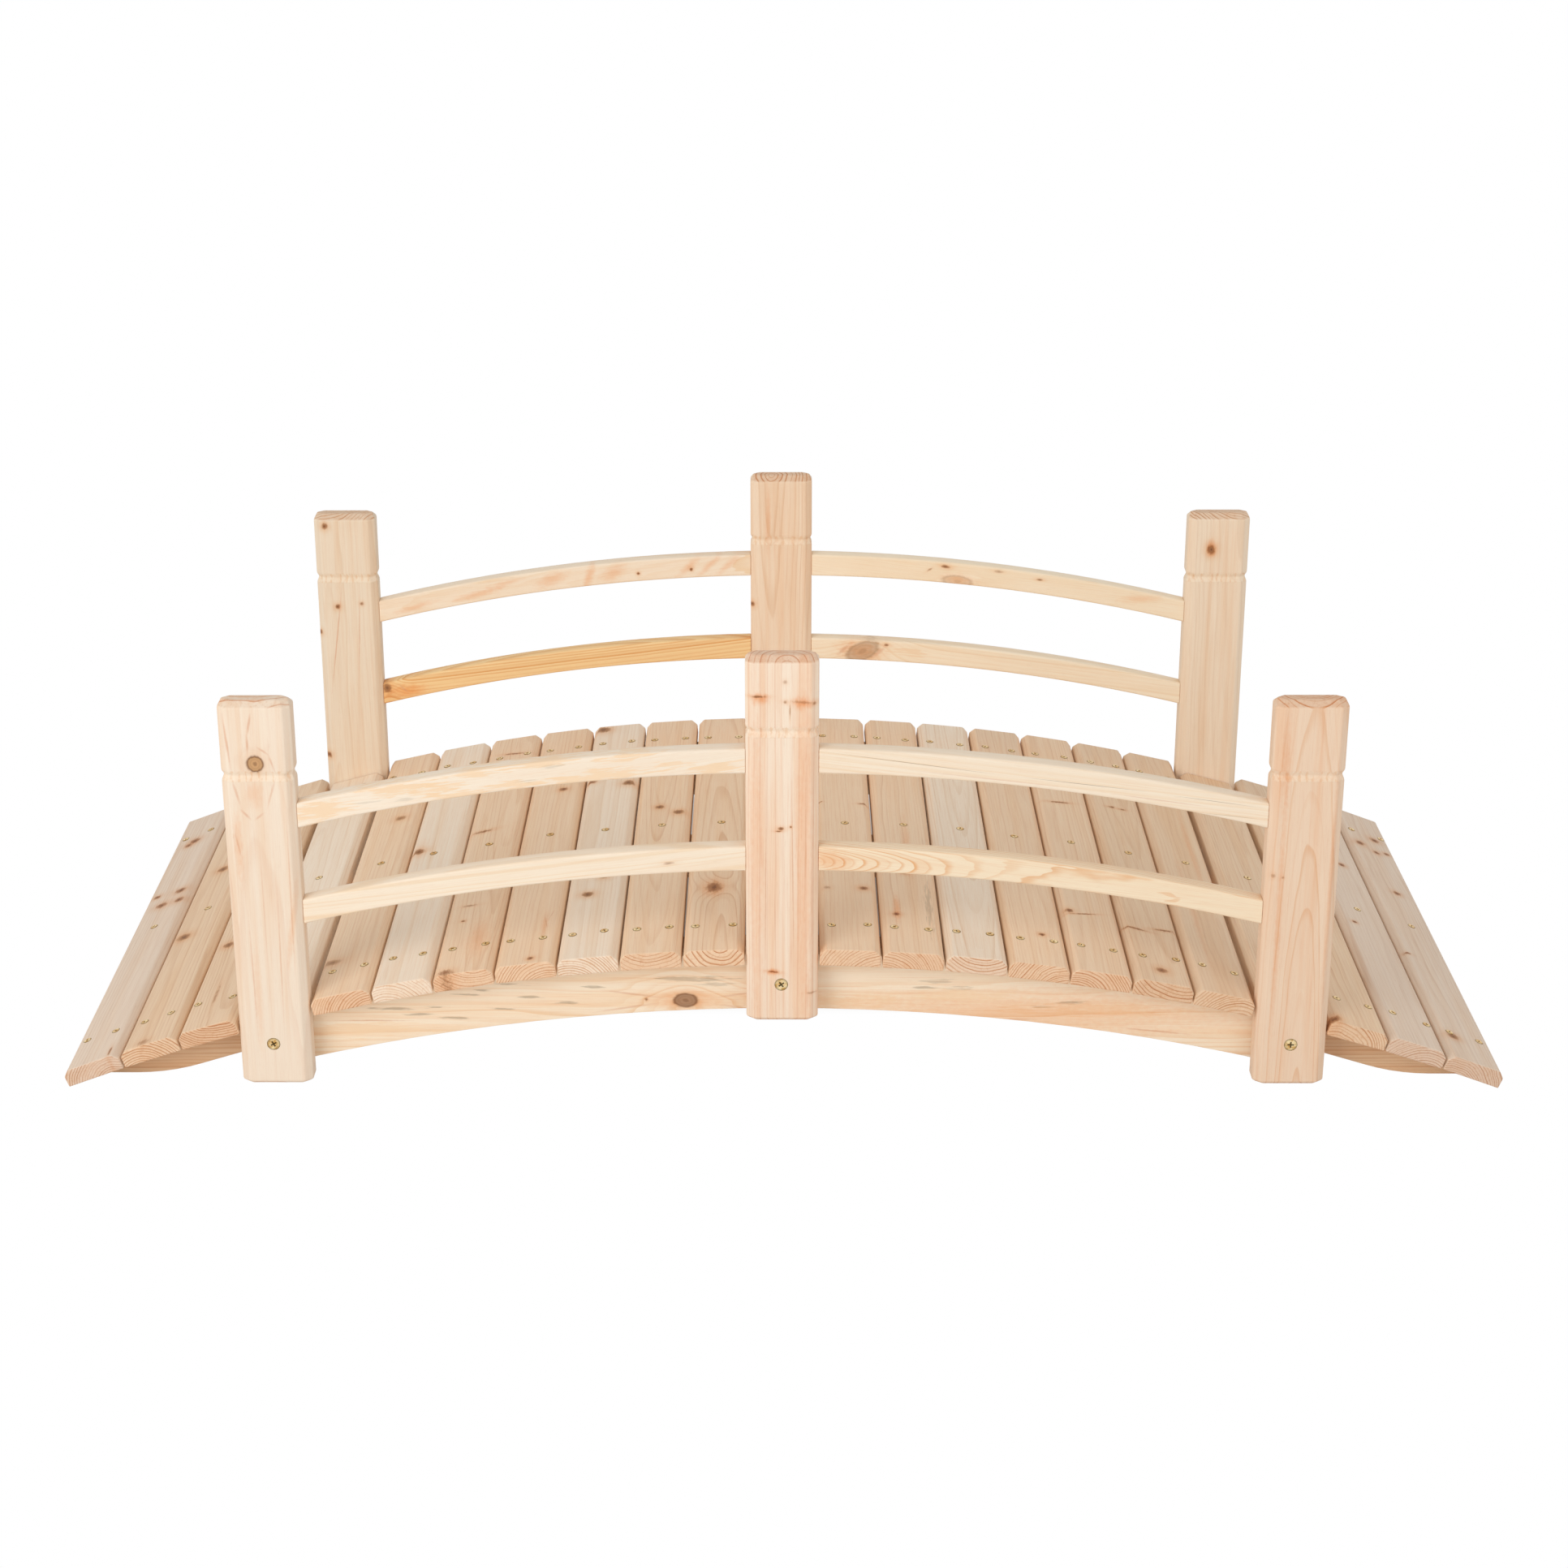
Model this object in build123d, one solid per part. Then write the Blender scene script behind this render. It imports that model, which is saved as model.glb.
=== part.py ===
"""Small arched garden bridge in raw softwood.

A slatted deck lies on three sawn stringers. An arch board closes each side of the
deck, and six posts bolted to the arch boards carry two curved rails in each bay.
X runs along the bridge, Y across it and Z up. The ground is z = 0, and the origin
lies under the middle of the deck.
"""

import math
import os

from build123d import *

# Deck: slats laid square across the arch, each one tangent to it
arch_radius = 2078.0  # to the undersides of the slats
slat_length = 660.0
slat_width = 64.3
short_slat_width = 70.0  # behind a post, in the wider slot between its neighbours
slat_thickness = 19.0
slat_chamfer = 6.5  # along both upper long edges
slat_gap = 2.0
slats_in_a_bay = 7
slats_past_a_post = 3

# Stringers: sawn arches under the slats, cut flat where they meet the ground
stringer_thickness = 28.0
stringer_depth = 42.0
toe_height = 11.0  # upright end of a stringer
toe_setback = 8.0  # from the outer edge of the end slat
heel_radius = 230.0  # between the flat foot and the underside

# Arch boards: outside the side stringers, ending behind the corner posts
arch_board_thickness = 19.0
arch_board_depth = 64.5  # at the crown
arch_board_end_depth = 60.5
arch_board_end_cover = 10.0  # hidden behind the corner post's outer edge

# Posts: planks with eased edges and a grooved head, outside the arch boards
post_width = 75.5
post_depth = 30.0
post_stand_out = 2.0  # in front of the slat ends
post_face_chamfer = 8.0  # upright edges, measured across the face
post_side_chamfer = 6.0  # upright edges, measured across the side
corner_post_length = 438.0
middle_post_length = 411.0
corner_post_ground_gap = 13.0
middle_post_clearance = 1.6  # to the slats beside it
corner_post_clearance = 0.6
post_back_gap = 0.6  # to the short slat behind it

# Post heads and feet
cap_face_inset = 8.0  # bevels at the front and back of the head
cap_side_inset = 3.5  # steeper bevels at its sides
cap_height = 6.5
groove_drop = 76.0  # from the top of the post to the groove
groove_upper_height = 5.5
groove_lower_height = 6.0
groove_depth = 2.4
foot_inset = 4.0
foot_height = 4.0

# Rails: sawn to the same curve as the deck, butted between the posts
rail_height = 27.5
rail_thickness = 19.0
rail_ease = 1.5
upper_rail_rise = 231.0  # middle of the rail above the slats' undersides
lower_rail_rise = 121.5

# Where the parts lie across the bridge, counted outwards from its middle
post_front = slat_length / 2 + post_stand_out
post_middle = post_front - post_depth / 2
arch_board_face = post_front - post_depth
stringer_face = arch_board_face - arch_board_thickness
short_slat_length = 2 * (arch_board_face - post_back_gap)


def slat_angle_from(inner_edge):
    """Angle on the arch of the slat whose lower inner edge lies at this x."""
    half = slat_width / 2
    return math.asin(inner_edge / math.hypot(arch_radius, half)) + math.atan2(half, arch_radius)


def slat_run(inner_edge, count):
    """Angles of neighbouring slats, counted outwards from an inner edge."""
    start = slat_angle_from(inner_edge)
    step = (slat_width + slat_gap) / arch_radius
    return [start + step * number for number in range(count)]


# Right half of the deck: a bay, the corner post's slot, then the slats beyond it
bay_angles = slat_run(post_width / 2 + middle_post_clearance, slats_in_a_bay)
bay_edge = (arch_radius + slat_thickness) * math.sin(bay_angles[-1]) + slat_width / 2 * math.cos(
    bay_angles[-1]
)
corner_post_x = bay_edge + corner_post_clearance + post_width / 2
end_angles = slat_run(corner_post_x + post_width / 2 + corner_post_clearance, slats_past_a_post)
slot_angle = (bay_angles[-1] + end_angles[0]) / 2

right_angles = bay_angles + [slot_angle] + end_angles
slat_angles = [-angle for angle in reversed(right_angles)] + [0] + right_angles
post_slots = (-slot_angle, 0, slot_angle)

# The end slat sets where the stringers stop, and their toes set the deck's height
last_angle = end_angles[-1]
toe_x = arch_radius * math.sin(last_angle) + slat_width / 2 * math.cos(last_angle) - toe_setback
crown_height = (
    toe_height
    + arch_radius * (1 - math.cos(last_angle))
    + math.tan(last_angle) * (toe_x - arch_radius * math.sin(last_angle))
)


def slat_seat(angle):
    """Point (x, z) under the middle of the slat at this angle."""
    drop = arch_radius * (1 - math.cos(angle))
    return arch_radius * math.sin(angle), crown_height - drop


def seat_height(x, angle):
    """Height of a slat's underside at x."""
    seat_x, seat_z = slat_seat(angle)
    return seat_z - math.tan(angle) * (x - seat_x)


def seat_corner(angle, next_angle):
    """Point (x, z) where the undersides of two neighbouring slats meet."""
    reach = arch_radius / math.cos((next_angle - angle) / 2)
    middle = (angle + next_angle) / 2
    return reach * math.sin(middle), crown_height - arch_radius + reach * math.cos(middle)


def bedded_edge(end_x, end_angle):
    """Upper edge of a board, with a flat under each slat, from -end_x to end_x."""
    under = [angle for angle in slat_angles if abs(angle) <= end_angle]
    corners = [seat_corner(*pair) for pair in zip(under, under[1:])]
    end_z = seat_height(end_x, end_angle)
    return [(-end_x, end_z), *corners, (end_x, end_z)]


def sawn_board(outline, thickness, across):
    """Board cut to an outline in the XZ plane, its middle at y = across."""
    face = Plane.XZ * make_face(Curve() + outline)
    return Pos(0, across, 0) * extrude(face, amount=thickness / 2, both=True)


def deck_slat(angle):
    """Slat with chamfered upper edges, shortened where a post stands at each end."""
    short = angle in post_slots
    half = (short_slat_width if short else slat_width) / 2
    edge = slat_thickness - slat_chamfer
    section = Polyline(
        (-half, 0),
        (half, 0),
        (half, edge),
        (half - slat_chamfer, slat_thickness),
        (slat_chamfer - half, slat_thickness),
        (-half, edge),
        close=True,
    )
    length = short_slat_length if short else slat_length
    x, z = slat_seat(angle)
    return Pos(x, 0, z) * Rot(0, math.degrees(angle), 0) * sawn_board([section], length, 0)


def stringer(across):
    """Sawn arch with a flat foot at each end, rounded into the underside."""
    under_radius = arch_radius - stringer_depth
    heel_x = math.sqrt(under_radius**2 - (arch_radius - crown_height) ** 2)
    upper = bedded_edge(toe_x, last_angle)
    outline = [
        Polyline((-heel_x, 0), (-toe_x, 0), *upper, (toe_x, 0), (heel_x, 0)),
        ThreePointArc((heel_x, 0), (0, crown_height - stringer_depth), (-heel_x, 0)),
    ]
    body = sawn_board(outline, stringer_thickness, across)
    ground_edges = body.edges().filter_by(Axis.Y).group_by(Axis.Z)[0].sort_by(Axis.X)
    return fillet(ground_edges[1:-1], heel_radius)


def arch_board(across):
    """Deeper arch on the outside of a side stringer."""
    end_x = corner_post_x + post_width / 2 - arch_board_end_cover
    upper = bedded_edge(end_x, slot_angle)
    lower_z = upper[-1][1] - arch_board_end_depth
    outline = [
        Polyline((-end_x, lower_z), *upper, (end_x, lower_z)),
        ThreePointArc((end_x, lower_z), (0, crown_height - arch_board_depth), (-end_x, lower_z)),
    ]
    return sawn_board(outline, arch_board_thickness, across)


def post_section(height, side_inset, face_inset):
    """Cross-section of a post, drawn in from its sides and from its faces."""
    half_x, half_y = post_width / 2 - side_inset, post_depth / 2 - face_inset
    flat_x, flat_y = half_x - post_face_chamfer, half_y - post_side_chamfer
    corners = [
        (flat_x, -half_y),
        (half_x, -flat_y),
        (half_x, flat_y),
        (flat_x, half_y),
        (-flat_x, half_y),
        (-half_x, flat_y),
        (-half_x, -flat_y),
        (-flat_x, -half_y),
    ]
    return Pos(0, 0, height) * make_face(Polyline(*corners, close=True))


def post(x, across, bottom, length):
    """Plank post with an eased foot, a V groove round its neck and a bevelled head."""
    groove_top = length - groove_drop
    groove_root = groove_top - groove_upper_height
    stations = [
        (0, foot_inset, foot_inset),
        (foot_height, 0, 0),
        (groove_root - groove_lower_height, 0, 0),
        (groove_root, groove_depth, groove_depth),
        (groove_top, 0, 0),
        (length - cap_height, 0, 0),
        (length, cap_side_inset, cap_face_inset),
    ]
    body = loft([post_section(*station) for station in stations], ruled=True)
    return Pos(x, across, bottom) * body


def rail(side, rise, across):
    """Curved rail from the middle post to the corner post on one side of the middle."""
    inner_x, outer_x = post_width / 2, corner_post_x - post_width / 2
    middle_x = (inner_x + outer_x) / 2

    def on_edge(x, offset):
        drop = arch_radius - math.sqrt(arch_radius**2 - x**2)
        return side * x, crown_height + rise - drop + offset

    top, bottom = (
        [on_edge(x, offset) for x in (inner_x, middle_x, outer_x)]
        for offset in (rail_height / 2, -rail_height / 2)
    )
    outline = [
        ThreePointArc(*top),
        Line(top[-1], bottom[-1]),
        ThreePointArc(*reversed(bottom)),
        Line(bottom[0], top[0]),
    ]
    body = sawn_board(outline, rail_thickness, across)
    return chamfer(body.edges().filter_by(GeomType.CIRCLE), rail_ease)


def bridge():
    """All pieces of the bridge by name."""
    pieces = {
        f"deck_slat_{number:02d}": deck_slat(angle) for number, angle in enumerate(slat_angles, start=1)
    }
    pieces["centre_stringer"] = stringer(0)
    middle_post_bottom = crown_height - arch_board_depth
    for end, sign in (("front", -1), ("rear", 1)):
        pieces[f"{end}_stringer"] = stringer(sign * (stringer_face - stringer_thickness / 2))
        pieces[f"{end}_arch_board"] = arch_board(sign * (arch_board_face - arch_board_thickness / 2))
        across = sign * post_middle
        pieces[f"{end}_middle_post"] = post(0, across, middle_post_bottom, middle_post_length)
        for hand, side in (("left", -1), ("right", 1)):
            pieces[f"{end}_{hand}_post"] = post(
                side * corner_post_x, across, corner_post_ground_gap, corner_post_length
            )
            pieces[f"{end}_{hand}_upper_rail"] = rail(side, upper_rail_rise, across)
            pieces[f"{end}_{hand}_lower_rail"] = rail(side, lower_rail_rise, across)
    return pieces


os.makedirs("parts", exist_ok=True)
for name, solid in bridge().items():
    export_step(solid, f"parts/{name}.step")
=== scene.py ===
"""Looks of a small arched garden bridge of raw softwood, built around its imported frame."""
import logging
import math
import random
from collections.abc import Callable
from dataclasses import dataclass, field
from enum import Enum
from functools import partial

import bmesh
import bpy
from mathutils import Euler, Matrix, Vector


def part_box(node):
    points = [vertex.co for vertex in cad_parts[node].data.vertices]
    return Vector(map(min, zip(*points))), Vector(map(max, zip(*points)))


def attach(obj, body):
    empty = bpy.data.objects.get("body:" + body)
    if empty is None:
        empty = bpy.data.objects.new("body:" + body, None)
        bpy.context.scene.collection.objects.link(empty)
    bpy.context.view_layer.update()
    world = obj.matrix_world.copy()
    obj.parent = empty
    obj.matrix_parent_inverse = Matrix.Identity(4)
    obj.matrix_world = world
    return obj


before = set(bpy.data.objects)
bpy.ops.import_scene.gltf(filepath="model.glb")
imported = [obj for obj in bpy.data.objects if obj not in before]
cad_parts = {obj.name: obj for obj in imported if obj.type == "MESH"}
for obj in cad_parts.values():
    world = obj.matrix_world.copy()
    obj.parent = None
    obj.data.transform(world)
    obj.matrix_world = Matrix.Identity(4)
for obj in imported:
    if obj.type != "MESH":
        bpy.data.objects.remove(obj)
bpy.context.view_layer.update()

log = logging.getLogger("garden_bridge")

PICTURE_SIDE = 1932.0
MM = 0.001
ROOT = "root"
# Vertex layer of painted shade on the screw heads: full in the driver recess and in the ring of painted
# shadow at the foot, part on the rim.
PAINTED_SHADE = "painted_shade"
NOISE_ROUGHNESS = 0.55

Colour = tuple[float, float, float, float]
Span = tuple[float, float]


def paint(red: float, green: float, blue: float) -> Colour:
    """Turn the display values of a colour chip into linear light.

    Args:
        red: Red of the chip, 0 to 255.
        green: Green of the chip, 0 to 255.
        blue: Blue of the chip, 0 to 255.

    Returns:
        The colour as red, green, blue and a full alpha.
    """
    def linear(value: float) -> float:
        """One channel in linear light."""
        share = value / 255.0
        return share / 12.92 if share <= 0.04045 else ((share + 0.055) / 1.055) ** 2.4

    return (linear(red), linear(green), linear(blue), 1.0)


class Wire:
    """A node socket that takes part in arithmetic: each operator adds a Math node."""

    def __init__(self, bench: "Bench", socket: bpy.types.NodeSocket) -> None:
        """Keep the socket and the bench whose tree holds it."""
        self.bench = bench
        self.socket = socket

    def __add__(self, other: "Value") -> "Wire":
        """Sum of this value and another."""
        return self.bench.maths("ADD", self, other)

    def __radd__(self, other: "Value") -> "Wire":
        """Sum of another value and this."""
        return self.bench.maths("ADD", other, self)

    def __sub__(self, other: "Value") -> "Wire":
        """This value less another."""
        return self.bench.maths("SUBTRACT", self, other)

    def __rsub__(self, other: "Value") -> "Wire":
        """Another value less this."""
        return self.bench.maths("SUBTRACT", other, self)

    def __mul__(self, other: "Value") -> "Wire":
        """Product of this value and another."""
        return self.bench.maths("MULTIPLY", self, other)

    def __rmul__(self, other: "Value") -> "Wire":
        """Product of another value and this."""
        return self.bench.maths("MULTIPLY", other, self)

    def __truediv__(self, other: "Value") -> "Wire":
        """This value over another."""
        return self.bench.maths("DIVIDE", self, other)

    def __rtruediv__(self, other: "Value") -> "Wire":
        """Another value over this."""
        return self.bench.maths("DIVIDE", other, self)

    def __neg__(self) -> "Wire":
        """This value with its sign turned."""
        return self.bench.maths("MULTIPLY", self, -1.0)

    def __abs__(self) -> "Wire":
        """Size of this value."""
        return self.bench.maths("ABSOLUTE", self)

    def root(self) -> "Wire":
        """Square root."""
        return self.bench.maths("SQRT", self)

    def wave(self) -> "Wire":
        """Sine."""
        return self.bench.maths("SINE", self)

    def part(self) -> "Wire":
        """What is left over the whole number."""
        return self.bench.maths("FRACT", self)

    def whole(self) -> "Wire":
        """Whole number below."""
        return self.bench.maths("FLOOR", self)

    def bell(self) -> "Wire":
        """Bell curve of this squared distance: one at zero, fading outwards."""
        return self.bench.maths("EXPONENT", -self)

    def most(self, other: "Value") -> "Wire":
        """Larger of this value and another."""
        return self.bench.maths("MAXIMUM", self, other)

    def ease(self, start: float, end: float) -> "Wire":
        """Smooth step of this value.

        Args:
            start: Value at which the step gives zero.
            end: Value at which the step gives one, above or below the start.

        Returns:
            The share between zero and one.
        """
        return self.bench.node(
            "MapRange", {"interpolation_type": "SMOOTHSTEP"},
            {"Value": self, "From Min": start, "From Max": end})

    def other(self, output: str) -> "Wire":
        """Another output of the node that this wire leaves."""
        return Wire(self.bench, self.socket.node.outputs[output])


Value = Wire | float


class Bench:
    """The place where one node tree is put together."""

    def __init__(self, tree: bpy.types.NodeTree) -> None:
        """Take an emptied tree."""
        self.tree = tree
        tree.nodes.clear()

    def node(self, kind: str, settings: dict[str, object] | None = None,
             sockets: dict[str | int, object] | None = None, output: str | int = 0) -> Wire:
        """Add one node.

        Args:
            kind: The node's type, without ShaderNode before it.
            settings: Its settings, which are set first.
            sockets: The values or wires of its inputs, by name or number.
            output: The output that is handed on.

        Returns:
            A wire from that output.
        """
        made = self.tree.nodes.new("ShaderNode" + kind)
        for name, setting in (settings or {}).items():
            setattr(made, name, setting)
        for key, value in (sockets or {}).items():
            if isinstance(value, Wire):
                self.tree.links.new(value.socket, made.inputs[key])
            else:
                made.inputs[key].default_value = value
        return Wire(self, made.outputs[output]) if len(made.outputs) else Wire(self, made.inputs[0])

    def maths(self, operation: str, *values: Value) -> Wire:
        """Add a Math node with its values in order."""
        return self.node("Math", {"operation": operation}, dict(enumerate(values)))

    def mix(self, share: Value, first: "Wire | Colour", second: "Wire | Colour",
            mode: str = "MIX") -> Wire:
        """Mix two colours.

        Args:
            share: Share of the second colour.
            first: Colour where the share is zero.
            second: Colour where the share is one.
            mode: Way of mixing.

        Returns:
            The mixed colour.
        """
        return self.node(
            "Mix", {"data_type": "RGBA", "blend_type": mode},
            {0: share, 6: first, 7: second}, 2)

    def point(self, x: Value, y: Value, z: Value) -> Wire:
        """Join three values to a vector."""
        return self.node("CombineXYZ", None, {"X": x, "Y": y, "Z": z})

    def split(self, vector: Wire) -> tuple[Wire, Wire, Wire]:
        """Part a vector into its three values."""
        first = self.node("SeparateXYZ", None, {"Vector": vector}, "X")
        return first, first.other("Y"), first.other("Z")

    def noise(self, place: Wire, detail: float = 2.0, output: str = "Fac") -> Wire:
        """Cloudy noise about one unit wide.

        Args:
            place: Where the noise is read.
            detail: How many finer layers it has.
            output: Fac for a value, Color for three values at once.

        Returns:
            The noise, around a half.
        """
        return self.node(
            "TexNoise", {"noise_dimensions": "3D"},
            {"Vector": place, "Scale": 1.0, "Detail": detail, "Roughness": NOISE_ROUGHNESS}, output)


def new_finish(name: str) -> tuple[bpy.types.Material, Bench]:
    """A new material, and the bench for its nodes."""
    skin = bpy.data.materials.new(name)
    skin.use_nodes = True
    return skin, Bench(skin.node_tree)


def new_object(name: str, data: bpy.types.ID) -> bpy.types.Object:
    """A new object in the scene for a mesh, a lamp or a camera."""
    made = bpy.data.objects.new(name, data)
    bpy.context.scene.collection.objects.link(made)
    return made


def new_piece(name: str, mesh: bmesh.types.BMesh) -> bpy.types.Object:
    """A new object in the scene that takes over a mesh."""
    data = bpy.data.meshes.new(name)
    mesh.to_mesh(data)
    mesh.free()
    return new_object(name, data)


@dataclass(frozen=True)
class Lie:
    """How a board lies: its middle, and the way its fibres, width and thickness point."""

    middle: Vector
    along: Vector
    across: Vector

    @property
    def through(self) -> Vector:
        """Direction through the board's thickness."""
        return self.along.cross(self.across)

    @property
    def turn(self) -> Euler:
        """Turn from the bridge's axes to the board's."""
        return Matrix((self.along, self.across, self.through)).transposed().to_euler()

    def millimetres(self, bench: Bench) -> Wire:
        """Place on the board, in millimetres from its middle along, across and through it."""
        place = bench.node("TexCoord", output="Object")
        return bench.node("Mapping", {"vector_type": "TEXTURE"},
                          {"Vector": place, "Location": self.middle, "Rotation": self.turn,
                           "Scale": (MM, MM, MM)})


@dataclass(frozen=True)
class MarkLook:
    """Colour and edge of one kind of mark."""

    colour: Colour
    soft: float
    ragged: float
    strength: float
    mode: str = "MIX"
    frayed: bool = False
    glow: float = 0.0
    heart: float = 0.0
    rim: float = 0.0
    dent: float = 0.0


class MarkKind(Enum):
    """The marks that raw softwood shows: kinds of knot, bark, crack, late wood and stain."""

    KNOT = MarkLook(paint(206, 158, 108), 0.18, 0.14, 0.92, glow=0.50, heart=0.40, rim=0.80, dent=0.3)
    TIGHT = MarkLook(paint(168, 138, 110), 0.22, 0.13, 0.88, glow=0.60, heart=0.25, rim=0.75, dent=0.3)
    DEAD = MarkLook(paint(166, 116, 74), 0.55, 0.32, 0.92, glow=0.75, heart=0.60, dent=0.3)
    PIN = MarkLook(paint(164, 110, 70), 0.60, 0.36, 0.90, glow=0.70, heart=0.65, dent=0.3)
    SCAR = MarkLook(paint(158, 106, 68), 0.80, 0.65, 0.90, glow=0.55, dent=0.3)
    CRACK = MarkLook(paint(150, 122, 94), 0.90, 0.12, 0.75, dent=0.2)
    VEIN = MarkLook(paint(219, 160, 122), 1.00, 0.25, 0.85)
    STAIN = MarkLook(paint(186, 184, 178), 0.70, 1.70, 0.70, "MULTIPLY", frayed=True)
    FLAME = MarkLook(paint(247, 213, 173), 0.50, 2.00, 0.75, frayed=True)
    BLUSH = MarkLook(paint(248, 208, 176), 1.00, 0.35, 0.95, "MULTIPLY")


KNOT_RIM = paint(118, 76, 44)
KNOT_HEART = paint(104, 66, 42)
KNOT_GLOW = paint(240, 196, 150)


@dataclass(frozen=True)
class Mark:
    """One mark on a board, in millimetres from the board's middle."""

    kind: MarkKind
    along: float
    across: float
    half_width: float
    half_length: float = 0.0
    lean: float = 0.0
    strength: float = 1.0
    lift: float = 0.9
    reach: float = 2.3

    def offsets(self, along: Wire, across: Wire) -> tuple[Wire, Wire]:
        """Distances from the mark's middle, in its own half sizes.

        Args:
            along: Place along the board.
            across: Place across the board.

        Returns:
            The distance along and the distance across the mark.
        """
        step_along, step_across = along - self.along, across - self.across
        if self.lean:
            c, s = math.cos(math.radians(self.lean)), math.sin(math.radians(self.lean))
            step_along, step_across = (step_along * c + step_across * s,
                                       step_across * c - step_along * s)
        return step_along / (self.half_length or self.half_width), step_across / self.half_width


# One maker for each kind of mark, in the order of MarkKind.
knot, tight, dead, pin, scar, crack, vein, stain, flame, blush = (partial(Mark, k) for k in MarkKind)


def several(make: Callable[..., Mark], *rows: tuple[float, ...]) -> tuple[Mark, ...]:
    """Marks of one kind, each row a place, half width, half length, lean and strength."""
    return tuple(make(*row) for row in rows)


@dataclass(frozen=True)
class Grain:
    """Noise drawn out along the fibres: length and width in millimetres, and finer layers."""

    length: float
    width: float
    detail: float


STRIPE = Grain(420.0, 13.0, 2.0)
CRUMB = Grain(7.0, 3.4, 2.0)
FRAY = Grain(24.0, 2.1, 3.0)
FIBRE = Grain(55.0, 1.3, 3.0)
HAIR = Grain(11.0, 0.5, 1.0)
DRIFT_DETAIL = 2.0

# Spans over which a noise, or the turn of a face to the fibres, comes to show.
END_FACE: Span = (0.45, 0.8)
PATCHES: Span = (0.44, 0.66)
DARK_FIBRES: Span = (0.50, 0.78)
PALE_FIBRES: Span = (0.48, 0.24)
DARK_HAIRS: Span = (0.60, 0.82)
PORES: Span = (0.5, 0.75)
PITS: Span = (0.75, 0.45)
TORN_SIDE: Span = (-1.0, 3.0)
HEART: Span = (0.40, 0.12)

FIBRE_LIGHT = paint(255, 246, 232)
FLECK = paint(206, 160, 122)
END_GRAIN = paint(235, 212, 196)
END_PORES = paint(226, 188, 156)
END_RINGS = paint(226, 180, 146)
GROOVE_FUZZ = paint(252, 234, 208)
GROOVE_PITS = paint(240, 204, 164)
# Shares of one colour or noise in a mix.
PORE_SHARE, END_RING_SHARE, FUZZ_SHARE, PIT_SHARE = 0.30, 0.55, 0.26, 0.40
STRIPE_SHARE, DROP_SHARE, TONE_SHARE = 0.7, 0.3, 0.5
# Roughness, relief and gloss of the faces.
ROUGH, ROUGH_FIBRE, ROUGH_END, ROUGH_GROOVE = 0.60, 0.22, 0.14, 0.12
HIGH_FIBRE, HIGH_HAIR, HIGH_END, HIGH_GROOVE = 0.60, 0.25, 1.1, 2.2
BUMP_STRENGTH, BUMP_DEPTH, GLOSS = 0.5, 0.00035, 0.28
# Torn fibres at the edge of a sawn groove, in millimetres.
TOOTH_RATE, TOOTH_SWAY, TOOTH_SIZE, TORN_REACH = 0.42, 9.0, 0.35, 3.2
GROOVE_FADE, GROOVE_FULL = 1.6, 0.2
# Growth rings, and the halo, rings and rim of a knot.
SWAY_GAIN, RING_SPREAD, RING_SPREAD_REACH = 4.0, 2.2, 16.0
LATE_FULL, LATE_STOP, LATE_LEAST, LATE_MORE = 0.93, 0.95, 0.3, 0.7
GLOW_FALL, KNOT_RINGS, KNOT_RING_SHARE, RIM_PLACE, RIM_SHARP = 0.55, 14.0, 0.22, 0.92, 7.0


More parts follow.
